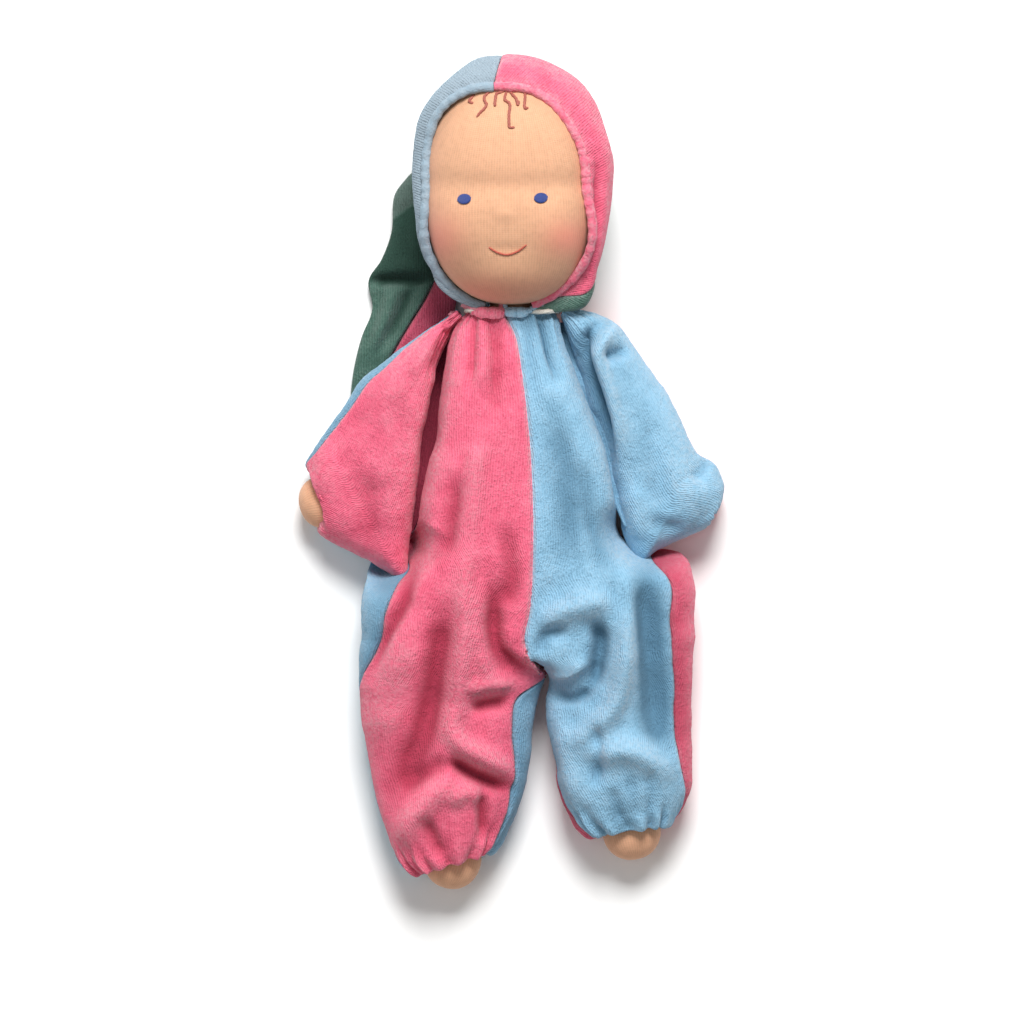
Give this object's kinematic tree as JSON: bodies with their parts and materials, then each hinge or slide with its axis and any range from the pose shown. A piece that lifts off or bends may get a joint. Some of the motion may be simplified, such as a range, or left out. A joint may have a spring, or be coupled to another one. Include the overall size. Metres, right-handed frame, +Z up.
{
  "type": "baby doll",
  "caption": "Soft cloth baby doll lying on its back, in a hooded velour suit with a long hood tip, stuffed hands and feet, and a head, arms and legs that move.",
  "frame": {"origin": "under the middle of the doll's length and width, on the surface that it lies on", "axes": "+Z up out of the belly, +Y from the feet to the top of the head, +X to the doll's left side"},
  "size_m": [0.186, 0.3608, 0.0782],
  "materials": {
    "velour_pink": "pink cotton velour with a ribbed pile",
    "velour_blue": "light blue cotton velour with a ribbed pile",
    "velour_green": "sea green cotton velour with a ribbed pile",
    "tricot_skin": "flesh-coloured cotton tricot",
    "wool_fill": "carded wool",
    "thread_blue": "blue embroidery thread",
    "thread_red": "red embroidery thread",
    "thread_brown": "reddish-brown embroidery thread",
    "cord_ivory": "ivory cotton cord and tying thread"
  },
  "bodies": {
    "torso": {"torso_stuffing": "wool_fill", "suit_front_left": "velour_pink", "suit_front_right": "velour_blue", "suit_back_left": "velour_blue", "suit_back_right": "velour_pink", "neck_cord": "cord_ivory", "hood_tail_green": "velour_green", "hood_tail_pink": "velour_pink"},
    "neck": {"neck_stub": "tricot_skin", "neck_tie": "cord_ivory"},
    "head": {"head_core": "wool_fill", "head_skin": "tricot_skin", "eye_line_thread": "cord_ivory", "left_eye": "thread_blue", "right_eye": "thread_blue", "mouth": "thread_red", "hair_stitch_1": "thread_brown", "hair_stitch_2": "thread_brown", "hair_stitch_3": "thread_brown", "hair_stitch_4": "thread_brown", "hair_stitch_5": "thread_brown", "hair_stitch_6": "thread_brown", "hood_front_left": "velour_blue", "hood_front_right": "velour_pink", "hood_gore_right": "velour_green", "hood_back_left": "velour_green", "hood_back_right": "velour_green", "hood_roll_left": "velour_blue", "hood_roll_right": "velour_pink"},
    "left_shoulder": {"left_shoulder_gather": "velour_pink"},
    "right_shoulder": {"right_shoulder_gather": "velour_blue"},
    "left_arm": {"left_sleeve_front": "velour_pink", "left_sleeve_back": "velour_blue", "left_arm_stuffing": "wool_fill", "left_hand": "tricot_skin", "left_wrist_thread": "cord_ivory"},
    "right_arm": {"right_sleeve_front": "velour_blue", "right_sleeve_back": "velour_pink", "right_arm_stuffing": "wool_fill", "right_hand": "tricot_skin", "right_wrist_thread": "cord_ivory"},
    "left_leg": {"left_leg_front": "velour_pink", "left_leg_back": "velour_blue", "left_leg_stuffing": "wool_fill", "left_foot": "tricot_skin", "left_ankle_thread": "cord_ivory"},
    "right_leg": {"right_leg_front": "velour_blue", "right_leg_back": "velour_pink", "right_leg_stuffing": "wool_fill", "right_foot": "tricot_skin", "right_ankle_thread": "cord_ivory"}
  },
  "joints": [
    {"name": "head_turn", "type": "hinge", "parent": "torso", "child": "neck", "pos_m": [0.00103, 0.07485, 0.029], "axis": [0, 1, 0], "range_deg": [-45, 45], "deforming": ["hood_tail_green", "hood_tail_pink"]},
    {"name": "head_nod", "type": "hinge", "parent": "neck", "child": "head", "pos_m": [0.00103, 0.07485, 0.029], "axis": [1, 0, 0], "range_deg": [-15, 5]},
    {"name": "left_arm_raise", "type": "hinge", "parent": "torso", "child": "left_shoulder", "pos_m": [-0.02287, 0.06885, 0.027], "axis": [0, 0, -1], "range_deg": [0, 40]},
    {"name": "left_arm_forward", "type": "hinge", "parent": "left_shoulder", "child": "left_arm", "pos_m": [-0.03287, 0.02085, 0.038], "axis": [0.188, 0.9822, 0], "range_deg": [0, 80]},
    {"name": "right_arm_raise", "type": "hinge", "parent": "torso", "child": "right_shoulder", "pos_m": [0.02463, 0.06885, 0.027], "axis": [0, 0, 1], "range_deg": [0, 40]},
    {"name": "right_arm_forward", "type": "hinge", "parent": "right_shoulder", "child": "right_arm", "pos_m": [0.03613, 0.02085, 0.038], "axis": [0.28, -0.96, 0], "range_deg": [0, 80]},
    {"name": "left_leg_lift", "type": "hinge", "parent": "torso", "child": "left_leg", "pos_m": [-0.02587, -0.07995, 0.0472], "axis": [-1, 0, 0], "range_deg": [0, 90]},
    {"name": "right_leg_lift", "type": "hinge", "parent": "torso", "child": "right_leg", "pos_m": [0.04693, -0.07995, 0.0472], "axis": [-1, 0, 0], "range_deg": [0, 90]}
  ]
}
